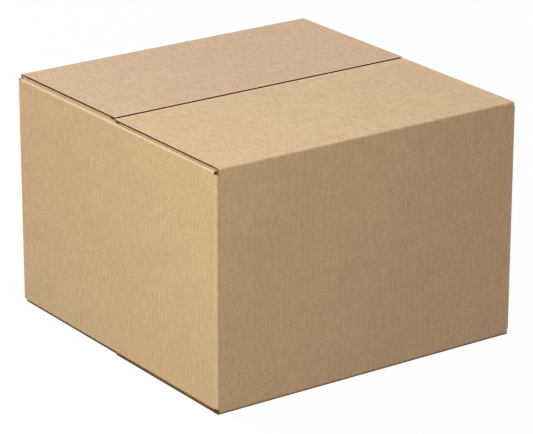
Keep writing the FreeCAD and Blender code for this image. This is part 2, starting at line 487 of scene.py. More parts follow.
    def place(self, s: Array, v: Array, t: Array) -> Array:
        """Place in space of points of the folded sheet.

        Across a flap fold a point lies on a quarter circle about a centre that moves
        inwards with its depth; before and after it, the point is pushed away from the
        fold by that centre's shift, which fades with distance.  The wrap's own folds
        do the same in plan.

        Args:
            s: Place along the wrap.
            v: Place up the panels.
            t: Depth below the outer face.

        Returns:
            Points, with a last axis of 3.
        """
        board, height = self.board, self.sizes.height
        s, v, t = (np.asarray(a, dtype=float) for a in np.broadcast_arrays(s, v, t))
        depth = t * (1.0 - board.fold_crush * self.fold_marks(s, v, board.fold_crush_reach))
        distance = self.fold_distance(s, v)
        radius, shift = board.fold_radius(depth), board.fold_shift(depth)
        angle = np.clip(distance / board.fold_arc, 0.0, 1.0) * math.pi / 2.0
        before = np.maximum(-distance, 0.0)
        past = np.maximum(distance - board.fold_arc, 0.0)
        centre = depth + radius
        inward = centre - radius * np.cos(angle) + past - shift * (1.0 - board.spread(past))
        down = centre - radius * np.sin(angle) + before - shift * (1.0 - board.spread(before))
        down = down + self.flap_level(s)
        z = np.where(self.on_top(v), height - down, down) + self.fold_skew(s, v)
        wall = smooth_step((self.slot_high + self.slot_fade - v) / self.slot_fade)
        wall = wall * smooth_step((v - self.slot_low + self.slot_fade) / self.slot_fade)
        along = self.plan_push(s, shift * wall)
        across = inward + self.bow(s, v)
        x, y, turn = self.path_at(s)
        x = x - np.sin(turn) * across + np.cos(turn) * along
        y = y + np.cos(turn) * across + np.sin(turn) * along
        points = np.stack([x, y, z], axis=-1)
        for fold in self.folds:
            here = self.inside_arc(s, fold)
            points[here] = self.corner_point(s[here], v[here], depth[here], fold)
        return points

    def fold_skew(self, s: Array, v: Array) -> Array:
        """Rise of the left panel's flap folds, which lie a little askew.

        The upper fold rises evenly towards the front and the lower one sinks towards
        the back, both only within a short reach of the fold.

        Args:
            s: Place along the wrap.
            v: Place up the panels.

        Returns:
            What is added to z.
        """
        share = self.panels[Wall.LEFT].share(s)
        sink = self.bottom_skew * (1.0 - share) * smooth_step(self.skew_start * share)
        rise = np.where(self.on_top(v), self.top_skew * share, -sink)
        near = self.fold_bump(s, v, self.skew_reach)
        return np.where((share >= 0.0) & (share <= 1.0), rise * near, 0.0)

    def wander(self, s: Array, v: Array) -> Array:
        """Small unevenness from -1 to 1: a sum of sines of unlike lengths.

        Args:
            s: Place along the wrap.
            v: Place up the panels.

        Returns:
            The sum over its weights.
        """
        waves = [(s, *wave) for wave in self.waves_along]
        waves += [(v, *wave) for wave in self.waves_up]
        sines = [weight * np.sin(FULL_TURN * place / length + phase)
                 for place, length, phase, weight in waves]
        return sum(sines) / sum(wave[-1] for wave in waves)

    def bow(self, s: Array, v: Array) -> Array:
        """Inward bow of a panel: a product of two half sines, plus the wander.

        Args:
            s: Place along the wrap.
            v: Place up the panels.

        Returns:
            How far the panel lies inwards.
        """
        share = np.zeros(s.shape)
        for panel in self.panels.values():
            here = (s > panel.start) & (s < panel.end) & (panel.wall is not Wall.TAB)
            share = np.where(here, np.sin(math.pi * panel.share(s)), share)
        up = np.sin(math.pi * np.clip(v / self.sizes.height, 0.0, 1.0))
        near_edge = np.minimum(1.0, 4.0 * share)
        uneven = self.crest_wander * near_edge * (1.0 + self.wander(s, v))
        return self.dish * share * up + uneven

    def plan_push(self, s: Array, shift: Array) -> Array:
        """Push along the wrap, away from its folds, fading with distance.

        Args:
            s: Place along the wrap.
            shift: The push right beside a fold.

        Returns:
            The push along the wrap.
        """
        board = self.board
        reach = 8.0 * board.fold_spread
        along = np.zeros(s.shape)
        for fold in self.folds:
            arc_end = fold + board.fold_arc
            along = np.where((s <= fold) & (s > fold - reach),
                             -shift * board.spread(fold - s), along)
            along = np.where((s >= arc_end) & (s < fold + reach),
                             shift * board.spread(s - arc_end), along)
        return along

    def inside_arc(self, s: Array, fold: float) -> Array:
        """True well inside the arc of the wrap's fold that starts at a place."""
        edge = 0.001 * MM
        return (s > fold + edge) & (s < fold + self.board.fold_arc - edge)

    def corner_point(self, s: Array, v: Array, depth: Array, fold: float) -> Array:
        """Points inside a fold of the wrap: a quarter circle that tightens with depth.

        Args:
            s: Place along the wrap.
            v: Place up the panels.
            depth: Depth below the outer face.
            fold: The s at which the fold starts.

        Returns:
            Points, one row each.
        """
        board = self.board
        radius, shift = board.fold_radius(depth), board.fold_shift(depth)
        start_x, start_y, turn = self.path_at(fold)
        cos_turn, sin_turn = math.cos(turn), math.sin(turn)
        reach = board.fold_outer + shift
        angle = turn + (s - fold) / board.fold_outer
        x = start_x - sin_turn * reach - cos_turn * shift + radius * np.sin(angle)
        y = start_y + cos_turn * reach - sin_turn * shift - radius * np.cos(angle)
        return np.stack([x, y, v], axis=-1)


@dataclass
class SheetGrid:
    """Grid of columns along s and rows along v on the folded sheet, with its cells.

    ``lean`` is added to x, and a vertex takes the given wear and painted highlight where
    the folds give it less; each is a number or a grid like ``rows``.  ``sides`` and
    ``tips`` bound the open flute space behind the cut edges along s and along v.
    """

    sheet: FoldedSheet
    columns: Array
    rows: Array
    cells: Array
    inner_depth: Array
    sides: tuple[Array | float, Array | float]
    tips: tuple[Array | float, Array | float]
    open_rows: tuple[int, ...]
    flute_anchor: Array | float
    lean: Array | float = 0.0
    wear_and_highlight: Array | float = 0.0
    # Painted shade on the outer and inner liners' cut edges.
    rim_shade: float = 0.9
    inner_rim_shade: float = 0.0
    closed_groove: float = 0.02
    lip: float = 0.03 * MM
    skin_share: float = 0.3

    def build(self, parts: MeshParts) -> None:
        """Closed board: two liners, and at every cut edge an open space between them.

        Both faces share the grid.  Round the border a rim runs from the outer face
        through the outer liner, in under it, across, out again and through the inner
        liner, so that the open space is as deep as the board's groove.  The cut edges
        and the inside of the groove take painted shade; a ring just under the outer face
        keeps that painted shade off the face.

        Args:
            parts: Where the mesh is gathered.
        """
        board = self.sheet.board
        s = np.broadcast_to(self.columns[:, None], self.rows.shape)
        v = self.rows
        depth = np.broadcast_to(self.inner_depth, v.shape)
        relief = self.washboard(s, v)
        skin = np.minimum(board.liner, self.skin_share * depth)
        starts, ends, (shift_s, shift_v) = self.border()
        edge = (shift_s != 0.0) | (shift_v != 0.0)
        closed = ~np.isin(np.arange(v.shape[1]), self.open_rows)
        shift_v = np.where(closed, self.closed_groove * shift_v, shift_v)
        deep = np.where(np.maximum(np.abs(shift_s), np.abs(shift_v)) > 0.5, 1.0, 0.0)
        # Painted shade on the liners' cut edges, and full painted shade inside the groove.
        rim, inner_rim = deep * self.rim_shade, deep * self.inner_rim_shade
        s_in = np.clip(s - shift_s * board.groove, *self.sides)
        v_in = np.clip(v - shift_v * board.groove, *self.tips)
        padded = np.pad(self.cells, 1)
        used = padded[1:, 1:] | padded[:-1, 1:] | padded[1:, :-1] | padded[:-1, :-1]
        outer = self.number_points(parts, s, v, relief, 0.0 * deep, used)
        inner = self.number_points(parts, s, v, depth - relief, inner_rim, used)
        parts.add_quads(cell_quads(outer, self.cells), Skin.LINER)
        parts.add_quads(cell_quads(inner, self.cells)[:, ::-1], Skin.LINING)
        layers = [
            (s, v, relief + self.lip, rim),
            (s, v, relief + skin, rim),
            (s_in, v_in, relief + skin, deep),
            (s_in, v_in, depth - skin, deep),
            (s, v, depth - skin, inner_rim),
        ]
        rings = [outer, *(self.number_points(parts, *layer, edge) for layer in layers), inner]
        skins = [Skin.CUT, Skin.CUT, Skin.LINING, Skin.CUT, Skin.LINING, Skin.CUT]
        for near, far, paper in zip(rings[:-1], rings[1:], skins):
            quads = [near[ends], near[starts], far[starts], far[ends]]
            parts.add_quads(np.stack(quads, axis=1), paper)

    def washboard(self, s: Array, v: Array) -> Array:
        """Depth of the liner between flute crests, half of one plus a cosine.

        Args:
            s: Place along the wrap.
            v: Place up the panels.

        Returns:
            The depth, none near a fold.
        """
        board = self.sheet.board
        anchor = np.reshape(self.flute_anchor, (-1, 1))
        wave = np.cos(FULL_TURN * (s - anchor) / board.pitch)
        flat = 1.0 - self.sheet.fold_marks(s, v, 2.0 * board.fold_crush_reach)
        return 0.5 * board.washboard * (1.0 + wave) * flat

    def number_points(self, parts: MeshParts, s: Array, v: Array, t: Array,
                      painted_shade: Array, chosen: Array) -> Array:
        """Add the chosen corners of the grid as vertices.

        Args:
            parts: Where the mesh is gathered.
            s: Place along the wrap.
            v: Place up the panels.
            t: Depth below the outer face.
            painted_shade: Painted shade given to the vertices, from 0 to 1.
            chosen: True for the corners to add.

        Returns:
            A grid of the vertices' numbers, -1 where there is none.
        """
        points = self.sheet.place(s[chosen], v[chosen], t[chosen])
        points[:, 0] += np.broadcast_to(self.lean, chosen.shape)[chosen]
        wear_and_highlight = np.maximum(self.sheet.fold_wear_and_highlight(s, v), self.wear_and_highlight)[chosen]
        # Painted shade: the greater of that under the lower folds and that given.
        shade = np.maximum(self.sheet.painted_low_fold_shade(s, v), painted_shade)[chosen]
        numbers = np.full(chosen.shape, -1, dtype=np.int64)
        numbers[chosen] = parts.add_points(points, s[chosen], v[chosen], wear_and_highlight, shade)
        return numbers

    def border(self) -> tuple[tuple[Array, ...], tuple[Array, ...], Array]:
        """Border edges in the outer face's winding.

        Returns:
            Start corners, end corners, and at each corner of the grid its outward
            direction, 1, 0 or -1, along s and along v.
        """
        padded = np.pad(self.cells, 1)
        starts, ends, outward = [], [], []
        for number, side in enumerate(CELL_SIDES):
            beside = np.roll(padded, (-side[0], -side[1]), axis=(0, 1))[1:-1, 1:-1]
            found = np.argwhere(self.cells & ~beside)
            starts.append(found + CELL_CORNERS[number])
            ends.append(found + CELL_CORNERS[(number + 1) % len(CELL_CORNERS)])
            outward.append(np.broadcast_to(side, found.shape))
        start, end = (tuple(np.concatenate(corners).T) for corners in (starts, ends))
        total = np.zeros((*self.rows.shape, 2))
        for corners in (start, end):
            np.add.at(total, corners, np.concatenate(outward))
        return start, end, np.sign(np.moveaxis(total, -1, 0))


@dataclass
class FlapMedium:
    """The fluted medium along a flap's free edge and down both its cut sides."""

    sheet: FoldedSheet
    anchor: float
    side_start: float
    side_end: float
    tip: float
    root: float
    lean: float = 0.0
    # Painted shade on the medium starts this far inside a cut edge and is full a rise further
    # in.
    dark_start: float = 0.7 * MM
    tip_dark_start: float = 0.1 * MM
    dark_rise: float = 0.5 * MM
    set_back: float = 0.25 * MM
    edge_rows: tuple[float, ...] = (0.9 * MM, 1.8 * MM, 3.2 * MM)
    squeeze: float = 0.95
    steps_per_flute: int = 16
    side_rows: int = 22

    def build(self, parts: MeshParts) -> None:
        """Three strips: the free edge, the starting side and the ending side.

        Args:
            parts: Where the mesh is gathered.
        """
        groove = self.sheet.board.groove
        inward = math.copysign(1.0, self.root - self.tip)
        near, far = self.side_start + self.set_back, self.side_end - self.set_back
        edge = np.sort(self.tip + inward * np.array([*self.edge_rows, groove]))
        side = np.sort(np.linspace(self.tip + inward * groove, self.root, self.side_rows))
        self.add_strip(parts, near, far, edge, True)
        self.add_strip(parts, near, self.side_start + groove, side, False)
        self.add_strip(parts, self.side_end - groove, far, side, False)

    def add_strip(self, parts: MeshParts, start: float, end: float, rows: Array,
                  on_edge: bool) -> None:
        """Thin closed sheet that follows the flute wave between the liners.

        Its middle lies at half the board's thickness plus a cosine of s, and its two
        faces half the paper's thickness to either side.

        Args:
            parts: Where the mesh is gathered.
            start: The s of its start.
            end: The s of its end.
            rows: Its rows along v.
            on_edge: True for the free edge, whose painted shade deepens from the tip.
        """
        board = self.sheet.board
        steps = max(3, round((end - start) / board.pitch * self.steps_per_flute))
        s, v = np.meshgrid(np.linspace(start, end, steps + 1), rows, indexing="ij")
        swing = 0.5 * (board.thickness - 2.0 * board.liner - board.medium) * self.squeeze
        wave = np.cos(FULL_TURN * (s - self.anchor) / board.pitch)
        middle = 0.5 * board.thickness + swing * wave
        # Painted shade deepens inwards from the cut sides, or from the tip on the free edge.
        inside = np.minimum(s - self.side_start, self.side_end - s) - self.dark_start
        if on_edge:
            inside = np.abs(v - self.tip) - self.tip_dark_start
        painted_shade = smooth_step(inside / self.dark_rise)
        faces = []
        for side in (-0.5, 0.5):
            points = self.sheet.place(s, v, middle + side * board.medium)
            points[..., 0] += flap_lean(self.sheet, v, self.tip, self.lean)
            numbers = parts.add_points(points.reshape(-1, 3), s.ravel(), v.ravel(), 0.0,
                                       painted_shade.ravel())
            faces.append(numbers.reshape(s.shape))
        outer, inner = faces
        cells = np.ones((s.shape[0] - 1, s.shape[1] - 1), dtype=bool)
        parts.add_quads(cell_quads(outer, cells), Skin.MEDIUM)
        parts.add_quads(cell_quads(inner, cells)[:, ::-1], Skin.MEDIUM)
        for rim in (np.s_[:, 0], np.s_[-1, :], np.s_[::-1, -1], np.s_[0, ::-1]):
            near, far = outer[rim], inner[rim]
            loop = [near[1:], near[:-1], far[:-1], far[1:]]
            parts.add_quads(np.stack(loop, axis=1), Skin.CUT)


def flap_lean(sheet: FoldedSheet, v: Array, tip: float, lean: float) -> Array:
    """Sideways lean of a top flap, growing evenly from its fold to its free edge."""
    return lean * np.clip((v - sheet.sizes.height) / (tip - sheet.sizes.height), 0.0, 1.0)


def make_pieces(name: str, grid: SheetGrid, media: list[FlapMedium],
                materials: list[bpy.types.Material]) -> list[bpy.types.Object]:
    """Make the board and the fluting of one sub-assembly.

    Args:
        name: How the pieces' names start.
        grid: The board.
        media: The medium in its cut edges.
        materials: One material for each Skin.

    Returns:
        The two pieces.
    """
    board, fluting = MeshParts(), MeshParts()
    grid.build(board)
    for medium in media:
        medium.build(fluting)
    pieces = [board.make_object(f"{name}_board", materials),
              fluting.make_object(f"{name}_fluting", materials)]
    return pieces


@dataclass
class CartonBody:
    """Four panels, the glue tab, the inner flaps and the outer bottom flaps."""

    sheet: FoldedSheet
    columns_per_flute: int = 4
    flap_rows: int = 8
    fold_rows: int = 6
    edge_rows: int = 4
    wall_rows: int = 12
    corner_columns: int = 6
    # Painted shade on the medium and on the liners' cut edges.
    dark_start: float = 0.1 * MM
    rim_shade: float = 0.7
    inner_rim_shade: float = 0.6
    tolerance: float = 1e-7

    def column_list(self) -> Array:
        """Columns: evenly over each panel, and a few round each fold.

        Returns:
            The columns' s, in order.
        """
        stretches = []
        panels = list(self.sheet.panels.values())
        for panel, following in zip(panels, [*panels[1:], None]):
            flutes = (panel.flap_end - panel.flap_start) / self.sheet.board.pitch
            stretches.append(np.linspace(panel.flap_start, panel.flap_end,
                                         round(flutes * self.columns_per_flute) + 1))
            stretches.append(np.array([panel.start, panel.end]))
            if following is not None:
                stretches.append(np.linspace(panel.end, following.start,
                                             self.corner_columns + 1))
        return np.unique(np.round(np.concatenate(stretches), 7))

    def row_list(self, panel: Panel) -> Array:
        """Rows of a panel and its flaps, from the lowest v to the highest.

        Args:
            panel: The panel.

        Returns:
            The rows' v.
        """
        sheet, sizes = self.sheet, self.sheet.sizes
        zone = 4.0 * sheet.board.thickness
        wall = np.concatenate([
            np.linspace(sheet.slot_low, zone, self.edge_rows + 1)[:-1],
            np.linspace(zone, sizes.height - zone, self.wall_rows),
            np.linspace(sizes.height - zone, sheet.slot_high, self.edge_rows + 1)[1:],
        ])
        towards = 1.0 if panel.wall is Wall.FRONT else -1.0
        level = 0.0
        reach = sizes.half_depth + towards * sizes.bottom_seam - 0.5 * sizes.bottom_seam_gap
        if panel.inner_flaps:
            level, reach = sheet.inner_level, sizes.half_width - sizes.inner_seam_gap / 2.0
        fold_end = level + sheet.board.fold_outer - sheet.board.fold_arc
        bottom = self.flap_rows_of(sheet.flap_tip(reach, level, top=False), fold_end,
                                   sheet.slot_low)
        top = self.flap_rows_of(sheet.flap_tip(reach, level, top=True),
                                sizes.height - fold_end, sheet.slot_high)
        return np.concatenate([bottom, wall, top[::-1]])

    def flap_rows_of(self, tip: float, fold_end: float, slot_end: float) -> Array:
        """Rows from a flap's free edge to just short of the slot's end."""
        runs = [(tip, fold_end, self.flap_rows), (fold_end, slot_end, self.fold_rows)]
        return np.concatenate([np.linspace(a, b, n + 1)[:-1] for a, b, n in runs])

    def grid(self) -> SheetGrid:
        """The whole body as one grid with its slots left out.

        Returns:
            The grid.
        """
        sheet, groove = self.sheet, self.sheet.board.groove
        panels = list(sheet.panels.values())
        columns = self.column_list()
        centres = (columns[:-1] + columns[1:]) / 2.0
        rows = np.tile(self.row_list(sheet.panels[Wall.LEFT]), (len(columns), 1))
        first = self.flap_rows + self.fold_rows
        last = rows.shape[1] - 1 - first
        ends = np.r_[0:first, last + 1:rows.shape[1]]
        anchors = np.zeros(len(columns))
        cells = np.zeros((len(columns) - 1, rows.shape[1] - 1), dtype=bool)
        cells[:, first:last] = True
        side_low, side_high = np.full(rows.shape, -np.inf), np.full(rows.shape, np.inf)
        for panel in panels:
            own = self.between(columns, panel.start, panel.end, self.tolerance)
            anchors[own] = panel.flute_anchor
            rows[own, :] = self.row_list(panel)
            if panel.wall is Wall.TAB:
                continue
            flap = self.between(centres, panel.flap_start, panel.flap_end, 0.0)
            cells[flap, :first] = True
            cells[flap, last:] |= panel.inner_flaps
            side_low[np.ix_(own, ends)] = panel.flap_start + groove
            side_high[np.ix_(own, ends)] = panel.flap_end - groove
        for before, after, rise, drop in zip(panels, panels[1:], sheet.sizes.slot_rises,
                                             sheet.sizes.slot_drops):
            corner = self.between(columns, before.flap_end, after.flap_start, -self.tolerance)
            rows[corner, last] += rise
            rows[corner, first] -= drop
        rows = self.taper_tab(columns, rows, first, last)
        depth = np.full(rows.shape[1], sheet.board.thickness)
        return SheetGrid(sheet, columns, rows, cells, depth, (side_low, side_high),
                         (rows[:, :1] + groove, rows[:, -1:] - groove),
                         (0, rows.shape[1] - 1), anchors,
                         rim_shade=self.rim_shade, inner_rim_shade=self.inner_rim_shade)

    @staticmethod
    def between(places: Array, start: float, end: float, margin: float) -> Array:
        """True for places from a start to an end, widened by a margin."""
        return (places > start - margin) & (places < end + margin)

    def taper_tab(self, columns: Array, rows: Array, first: int, last: int) -> Array:
        """Draw the glue tab's rows together towards its free end.

        Args:
            columns: The grid's columns.
            rows: The grid's rows.
            first: The row at the lower slots' ends.
            last: The row at the upper slots' ends.

        Returns:
            The new rows.
        """
        sheet, sizes = self.sheet, self.sheet.sizes
        share = np.clip(sheet.panels[Wall.TAB].share(columns), 0.0, 1.0)[:, None]
        low_end = 2.0 * sheet.board.thickness + sizes.layer_gap + sizes.tab_clearance
        cut = low_end - sheet.slot_low
        inset = np.where(share > 0.0, cut + sizes.tab_taper * share, 0.0)
        middle = sizes.height / 2.0
        scale = (middle - sheet.slot_low - inset) / (middle - sheet.slot_low)
        rows = rows.copy()
        rows[:, first:last + 1] = middle + (rows[:, first:last + 1] - middle) * scale
        return rows

    def media(self) -> list[FlapMedium]:
        """Fluted medium in the cut edges of every flap that stays shut.

        Returns:
            The medium of each flap.
        """
        sheet = self.sheet
        media = []
        for panel in sheet.panels.values():
            if panel.wall is Wall.TAB:
                continue
            rows = self.row_list(panel)
            ends = [(rows[0], sheet.slot_low), (rows[-1], sheet.slot_high)]
            for tip, root in ends if panel.inner_flaps else ends[:1]:
                media.append(FlapMedium(sheet, panel.flute_anchor, panel.flap_start,
                                        panel.flap_end, tip, root,
                                        dark_start=self.dark_start))
        return media

    def make(self, materials: list[bpy.types.Material]) -> list[bpy.types.Object]:
        """Build the board and the medium in its edges, both fixed to the carton.

        Args:
            materials: One material for each Skin.

        Returns:
            The two pieces.
        """
        board, fluting = make_pieces("carton", self.grid(), self.media(), materials)
        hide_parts("carton_body")
        for piece in (board, fluting):
            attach(piece, "carton")
        return [board, fluting]


@dataclass
class TopFlap:
    """Outer top flap with its fold and the edge of the panel that carries it.

    Inside its fold the board thins along the mitre, so that the outer liner alone
    runs across.
    """

    sheet: FoldedSheet
    wall: Wall
    body: str
    node: str
    start_inset: float
    end_inset: float
    lean: float
    columns_per_flute: int = 6
    flap_rows: int = 26
    fold_rows: int = 8
    edge_rows: int = 4
    spread_rows: int = 7
    hinge_half: float = 0.15 * MM
    hinge_rows: int = 6
    hinge_skin: float = 0.35 * MM
    hinge_step: float = 0.03 * MM
    root_margin: float = 0.2 * MM
    medium_root: float = 1.3
    # Wear with a painted highlight along the cut sides and the tip.
    rim_wear_and_highlight: float = 1.4

    @property
    def outward(self) -> float:
        """Direction along y from the carton's middle to the fold."""
        return -1.0 if self.wall is Wall.FRONT else 1.0

    @property
    def sides(self) -> tuple[float, float]:
        """The flap's two cut sides.

        Returns:
            The s of each.
        """
        sizes, panel = self.sheet.sizes, self.sheet.panels[self.wall]
        corner = self.sheet.board.fold_outer
        before = sizes.joint_setback if self.wall is Wall.BACK else corner
        return panel.start - before + self.start_inset, panel.end + corner - self.end_inset

    @property
    def anchor(self) -> float:
        """The s of a flute's inner crest, at the cut side nearest the left panel."""
        return self.sides[0 if self.wall is Wall.FRONT else 1]

    @property
    def tip(self) -> float:
        """The flap's free edge.

        Returns:
            Its v.
        """
        sizes = self.sheet.sizes
        middle = sizes.seam + sizes.seam_shift
        reach = sizes.half_depth - self.outward * middle - 0.5 * sizes.seam_gap
        return self.sheet.flap_tip(reach, 0.0, top=True)

    def rows(self) -> tuple[Array, Array]:
        """Rows from the slot's end to the seam.

        Returns:
            The rows' v, and the inner face's depth in each.
        """
        sheet, board = self.sheet, self.sheet.board
        start = sheet.sizes.height - board.fold_outer
        middle = start + 0.5 * board.fold_arc
        fold_end = start + board.fold_arc
        outside = self.hinge_half + self.hinge_step
        spread_end = fold_end + 3.0 * board.fold_spread
        rows = np.concatenate([
            np.linspace(sheet.slot_high, start, self.edge_rows + 1)[:-1],
            np.linspace(start, middle - outside, self.fold_rows),
            np.linspace(middle - self.hinge_half, middle + self.hinge_half,
                        self.hinge_rows + 1),
            np.linspace(middle + outside, fold_end, self.fold_rows),
            np.linspace(fold_end, spread_end, self.spread_rows + 1)[1:-1],
            np.linspace(spread_end, self.tip, self.flap_rows + 1),
        ])
        hinge = np.abs(rows - middle) < self.hinge_half + 0.5 * self.hinge_step
        return rows, np.where(hinge, self.hinge_skin, board.thickness)

    def grid(self) -> SheetGrid:
        """The flap as one grid.

        Returns:
            The grid.
        """
        sheet, board = self.sheet, self.sheet.board
        start, end = self.sides
        number = round((end - start) / board.pitch * self.columns_per_flute)
        columns = np.linspace(start, end, number + 1)
        row_list, depth = self.rows()
        rows = np.tile(row_list, (len(columns), 1))
        cells = np.ones((len(columns) - 1, len(row_list) - 1), dtype=bool)
        # Wear with a painted highlight along the flap's rim.
        wear_and_highlight = np.zeros(rows.shape)
        wear_and_highlight[np.ix_([0, -1], row_list > sheet.sizes.height)] = self.rim_wear_and_highlight
        wear_and_highlight[:, -1] = self.rim_wear_and_highlight
        return SheetGrid(sheet, columns, rows, cells, depth,
                         (start + board.groove, end - board.groove),
                         (row_list[0] + self.root_margin, row_list[-1] - board.groove),
                         (rows.shape[1] - 1,), self.anchor,
                         flap_lean(sheet, rows, self.tip, self.lean), wear_and_highlight)

    def make(self, materials: list[bpy.types.Material]) -> list[bpy.types.Object]:
        """Build the flap, bent across its fold, and the medium in its cut edges.

        Args:
            materials: One material for each Skin.

        Returns:
            The two pieces.
        """
        sheet, board, sizes = self.sheet, self.sheet.board, self.sheet.sizes
        root = sizes.height - board.fold_outer + self.medium_root * board.fold_arc
        fluting = FlapMedium(sheet, self.anchor, *self.sides, self.tip, root, self.lean)
        flap, medium = make_pieces(self.node, self.grid(), [fluting], materials)
        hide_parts(self.node)
        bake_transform(flap)
        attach(medium, self.body)
        return [flap, medium]


class NodeSheet:
    """Short-hand for filling a shader node tree."""

    def __init__(self, tree: bpy.types.NodeTree) -> None:
        """Keep the tree that is filled."""
        self.tree = tree

    @classmethod
    def cleared(cls, owner: bpy.types.Material | bpy.types.World) -> NodeSheet:
        """Turn on a material's or world's nodes and clear them.

        Args:
            owner: The material or world.

        Returns:
            A sheet to fill them.
        """
        owner.use_nodes = True
        owner.node_tree.nodes.clear()
        return cls(owner.node_tree)

    def feed(self, node: bpy.types.Node, sources: dict[str | int, object]) -> None:
        """Link outputs to a node's inputs, or set the inputs to plain values.

        Args:
            node: The node.
            sources: An output or a value for each input.
        """
        for socket, source in sources.items():
            if isinstance(source, bpy.types.NodeSocket):
                self.tree.links.new(source, node.inputs[socket])
            else:
                node.inputs[socket].default_value = source

    def add(self, kind: str, sources: dict[str | int, object] | None = None,
            **settings: object) -> bpy.types.Node:
        """Add a node, set its properties and feed its inputs.

        Args:
            kind: The node's type name.
            sources: An output or a value for each input.
            **settings: Properties by name.

        Returns:
            The node.
        """
        node = self.tree.nodes.new(kind)
        for name, value in settings.items():
            setattr(node, name, value)
        self.feed(node, sources or {})
        return node

    def math(self, operation: str, first: object, second: object = 0.0
             ) -> bpy.types.NodeSocket:
        """Result of a Math node."""
        return self.add("ShaderNodeMath", {0: first, 1: second}, operation=operation).outputs[0]

    def noise(self, vector: object, scale: float, detail: float = 2.0,
              roughness: float = 0.5) -> bpy.types.NodeSocket:
        """Value of a Noise Texture node."""
        return self.add("ShaderNodeTexNoise", {"Vector": vector, "Scale": scale,
                                               "Detail": detail,
                                               "Roughness": roughness}).outputs[0]

    def stretch(self, vector: object, scale: Triple, angle: float = 0.0
                ) -> bpy.types.NodeSocket:
        """Vector scaled and turned by a Mapping node."""
        return self.add("ShaderNodeMapping", {"Vector": vector, "Scale": scale,
                                              "Rotation": (0.0, 0.0, angle)}).outputs[0]

    def range(self, value: object, low: float, high: float, to_low: float = 0.0
              ) -> bpy.types.NodeSocket:
        """Clamped and smoothed remap of a value to between a low one and 1."""
        sources = dict(enumerate((value, low, high, to_low, 1.0)))
        return self.add("ShaderNodeMapRange", sources,
                        interpolation_type="SMOOTHSTEP").outputs[0]

    def mix(self, share: object, first: object, second: object) -> bpy.types.NodeSocket:
        """Colour mixed from two colours, which are outputs or plain red, green and blue."""
        ends = ((*end, 1.0) if isinstance(end, tuple) else end for end in (first, second))
        return self.add("ShaderNodeMix", dict(zip((0, 6, 7), (share, *ends))),
                        data_type="RGBA").outputs[2]


def new_group(name: str, outputs: tuple[str, ...]
              ) -> tuple[NodeSheet, bpy.types.NodeSocket, bpy.types.Node]:
    """Shader node group with a Vector input and named value outputs.

    Args:
        name: The group's name.
        outputs: The outputs' names.

    Returns:
        A sheet to fill the group, its Vector, and its output node.
    """
    group = bpy.data.node_groups.new(name, "ShaderNodeTree")
    group.interface.new_socket("Vector", in_out="INPUT", socket_type="NodeSocketVector")
    for output in outputs:
        group.interface.new_socket(output, in_out="OUTPUT", socket_type="NodeSocketFloat")
    sheet = NodeSheet(group)
    return sheet, sheet.add("NodeGroupInput").outputs[0], sheet.add("NodeGroupOutput")


@dataclass(frozen=True)
class KraftPaper:
    """Fibre, grain, flecks and cloudiness of unbleached paper, as one node group.

    Scales are in features to the metre.
    """

    fibre_scale: float = 1100.0
    fine_scale: float = 640.0
    grain_scale: float = 330.0
    streak_scale: float = 430.0
    mottle_scale: float = 150.0
    cloud_scale: float = 26.0
    light_fleck_scale: float = 120.0
    dark_fleck_scale: float = 96.0

    def group(self) -> bpy.types.NodeTree:
        """Group that gives Tone and Cloud about 0, fleck masks, and Height.

        Two sets of stretched noise lie crosswise as fibres, a third runs along the
        flutes as streaks, three more sizes of noise give grain and mottle, and cells
        whose random value is high hold a fleck.

        Returns:
            The group.
        """
        sheet, place, result = new_group("kraft_paper",
                                         ("Tone", "Cloud", "Light", "Dark", "Height"))
        layers = [
            (sheet.noise(sheet.stretch(place, (0.22, 1.0, 1.0), 0.25), self.fibre_scale), 0.7),
            (sheet.noise(sheet.stretch(place, (1.0, 0.3, 1.0), -0.2), self.fibre_scale), 0.7),
            (sheet.noise(place, self.fine_scale, 1.0), 1.9),
            (sheet.noise(place, self.grain_scale, 1.0), 1.0),
            (sheet.noise(sheet.stretch(place, (1.0, 0.16, 1.0)), self.streak_scale, 1.0), 0.9),
            (sheet.noise(sheet.stretch(place, (1.0, 0.55, 1.0)), self.mottle_scale, 1.0), 0.75),
        ]
        tone: object = 0.0
        for value, weight in layers:
            centred = sheet.math("MULTIPLY", sheet.math("SUBTRACT", value, 0.5), weight)
            tone = sheet.math("ADD", tone, centred)
        clouds = sheet.noise(place, self.cloud_scale, detail=3.0, roughness=0.55)
        cloud = sheet.math("SUBTRACT", clouds, 0.5)
        light = self.flecks(sheet, place, self.light_fleck_scale, rarity=0.90, size=0.22)
        turned = sheet.stretch(place, (1.0, 1.0, 1.0), 1.1)
        dark = self.flecks(sheet, turned, self.dark_fleck_scale, rarity=0.94, size=0.20)
        sheet.feed(result, {"Tone": tone, "Cloud": cloud, "Light": light, "Dark": dark,
                            "Height": tone})
        return sheet.tree

    @staticmethod
    def flecks(sheet: NodeSheet, place: object, scale: float, rarity: float,
               size: float) -> bpy.types.NodeSocket:
        """Mask of small round flecks in a few random cells.

        Args:
            sheet: Where the nodes go.
            place: The vector.
            scale: Cells to the metre.
            rarity: Share of the cells that stay empty.
            size: A fleck's radius in cells.

        Returns:
            The mask.
        """
        cells = sheet.add("ShaderNodeTexVoronoi", {"Vector": place, "Scale": scale})
        split = sheet.add("ShaderNodeSeparateColor", {0: cells.outputs["Color"]})
        chosen = sheet.math("GREATER_THAN", split.outputs[0], rarity)
        spot = sheet.range(cells.outputs["Distance"], size, 0.4 * size)
        return sheet.math("MULTIPLY", chosen, spot)


